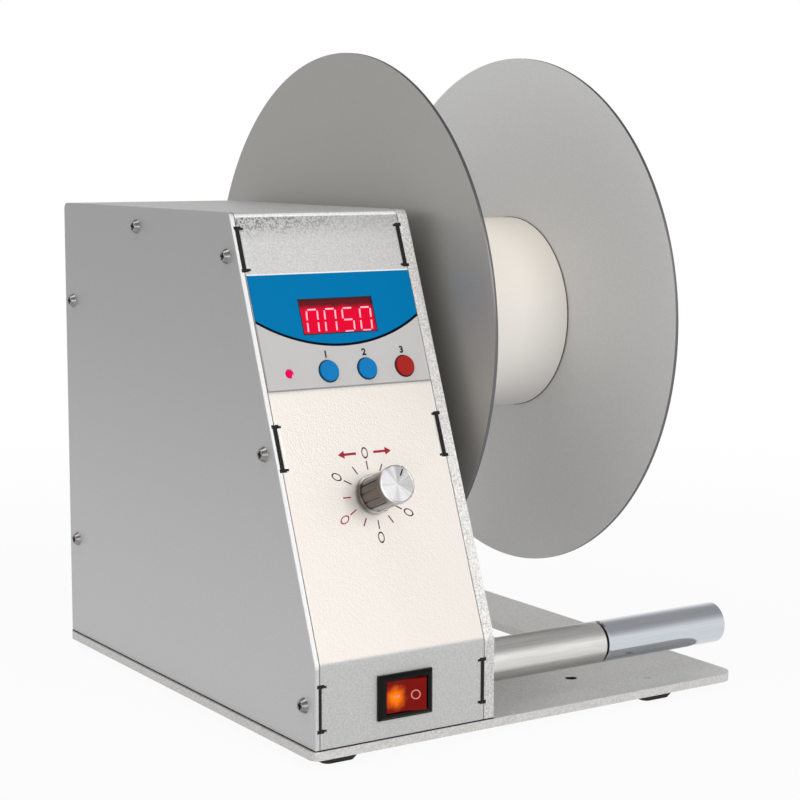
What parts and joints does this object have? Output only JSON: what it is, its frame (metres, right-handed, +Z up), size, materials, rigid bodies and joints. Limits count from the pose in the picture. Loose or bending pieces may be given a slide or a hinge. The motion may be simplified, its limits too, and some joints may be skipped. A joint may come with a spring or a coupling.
{
  "type": "label rewinder",
  "caption": "Bench label rewinder: a sloped control housing on a base plate drives a reel with two large flanges and a core drum, fed past a swinging roller bar.",
  "frame": {"origin": "on the table, under the middle of the whole machine's outline", "axes": "+Z up, +X to the reel's side along the spindle, +Y to the back; the control panel faces -Y"},
  "size_m": [0.186, 0.2158, 0.233],
  "materials": {
    "sheet_silver": "bead-blasted satin silver",
    "plate_silver": "satin silver with milled edges",
    "flange_silver": "fine matt silver",
    "turned_aluminium": "turned",
    "cast_aluminium": "cast",
    "drum_cream": "satin",
    "bar_satin": "satin nickel",
    "bar_chrome": "polished",
    "steel_shaft": "ground",
    "bearing_steel": "polished",
    "screw_steel": "zinc plated",
    "black_screw": "moulded",
    "brass": "turned",
    "motor_grey": "satin",
    "foot_rubber": "matt",
    "spacer_black": "moulded",
    "film_blue": "printed film, blue over light grey",
    "display_red": "dark red filter",
    "module_grey": "moulded",
    "board_green": "lacquered",
    "lamp_red": "clear red lens",
    "key_blue": "moulded",
    "key_red": "moulded",
    "rocker_red": "translucent, lit from inside",
    "knob_silver": "knurled side, spun face",
    "potentiometer_zinc": "zinc plated"
  },
  "bodies": {
    "housing": {"base_plate": "plate_silver", "rubber_feet": "foot_rubber", "foot_screws": "screw_steel", "wrapper_base_screws": "screw_steel", "side_plate_base_screws": "screw_steel", "housing_wrapper": "sheet_silver", "side_cover": "sheet_silver", "side_cover_screws": "screw_steel", "side_plate": "plate_silver", "side_plate_screws": "screw_steel", "panel_film": "film_blue", "display_lens": "display_red", "digit_module": "module_grey", "controller_board": "board_green", "board_posts": "spacer_black", "key_switches": "spacer_black", "status_lamp": "lamp_red", "speed_potentiometer": "potentiometer_zinc", "potentiometer_nut": "screw_steel", "rocker_frame": "spacer_black", "supply_inlet": "spacer_black", "bearing_holder": "turned_aluminium", "bearing_holder_screws": "screw_steel", "bearing_outer_race": "bearing_steel", "gearbox_housing": "cast_aluminium", "drive_motor": "motor_grey", "gearbox_standoffs": "brass", "gearbox_screws": "screw_steel", "arm_pivot_pin": "steel_shaft", "slot_sensor": "spacer_black"},
    "spindle": {"spindle_shaft": "steel_shaft", "gearbox_shaft": "steel_shaft", "shaft_coupling": "turned_aluminium", "bearing_inner_race": "bearing_steel", "inner_flange_hub": "turned_aluminium", "hub_set_screw": "screw_steel", "inner_flange": "flange_silver", "core_drum": "drum_cream", "drum_end_cap": "drum_cream", "drum_screws": "screw_steel"},
    "outer_flange_unit": {"outer_flange": "flange_silver", "outer_flange_hub": "turned_aluminium", "outer_flange_screws": "screw_steel"},
    "clamp": {"clamp_screw": "black_screw"},
    "speed_dial": {"speed_knob": "knob_silver", "potentiometer_shaft": "steel_shaft"},
    "rocker": {"power_rocker": "rocker_red"},
    "key_1": {"button_1": "key_blue"},
    "key_2": {"button_2": "key_blue"},
    "key_3": {"button_3": "key_red"},
    "guide_arm": {"swing_arm": "turned_aluminium", "guide_rod": "steel_shaft", "roller_washers": "spacer_black", "bar_end_screw": "bar_chrome"},
    "near_sleeve": {"near_roller": "bar_satin"},
    "far_sleeve": {"far_roller": "bar_chrome"}
  },
  "joints": [
    {"name": "spindle_turn", "type": "hinge", "parent": "housing", "child": "spindle", "pos_m": [0, 0.0079, 0.133], "axis": [1, 0, 0], "continuous": true},
    {"name": "outer_flange_lift_off", "type": "slide", "parent": "spindle", "child": "outer_flange_unit", "axis": [1, 0, 0], "range_m": [0, 0.1]},
    {"name": "clamp_turn", "type": "hinge", "parent": "outer_flange_unit", "child": "clamp", "pos_m": [0.0753, 0.0079, 0.15], "axis": [0, 0, 1], "range_deg": [0, 360]},
    {"name": "speed_turn", "type": "hinge", "parent": "housing", "child": "speed_dial", "pos_m": [-0.05755, -0.08499, 0.08383], "axis": [0, 0.9325, -0.3612], "range_deg": [-182, 118]},
    {"name": "rocker_tip", "type": "hinge", "parent": "housing", "child": "rocker", "pos_m": [-0.05755, -0.1031, 0.0206], "axis": [0, 0, 1], "range_deg": [0, 20]},
    {"name": "key_1_press", "type": "slide", "parent": "housing", "child": "key_1", "axis": [0, 0.9325, -0.3612], "range_m": [0, 0.0006], "stiffness_N_per_m": 2000},
    {"name": "key_2_press", "type": "slide", "parent": "housing", "child": "key_2", "axis": [0, 0.9325, -0.3612], "range_m": [0, 0.0006], "stiffness_N_per_m": 2000},
    {"name": "key_3_press", "type": "slide", "parent": "housing", "child": "key_3", "axis": [0, 0.9325, -0.3612], "range_m": [0, 0.0006], "stiffness_N_per_m": 2000},
    {"name": "guide_arm_swing", "type": "hinge", "parent": "housing", "child": "guide_arm", "pos_m": [-0.0313, -0.0341, 0.0305], "axis": [-1, 0, 0], "range_deg": [0, 30]},
    {"name": "near_sleeve_turn", "type": "hinge", "parent": "guide_arm", "child": "near_sleeve", "pos_m": [0.0082, -0.0861, 0.021], "axis": [1, 0, 0], "continuous": true},
    {"name": "far_sleeve_turn", "type": "hinge", "parent": "guide_arm", "child": "far_sleeve", "pos_m": [0.0652, -0.0861, 0.021], "axis": [1, 0, 0], "continuous": true}
  ]
}
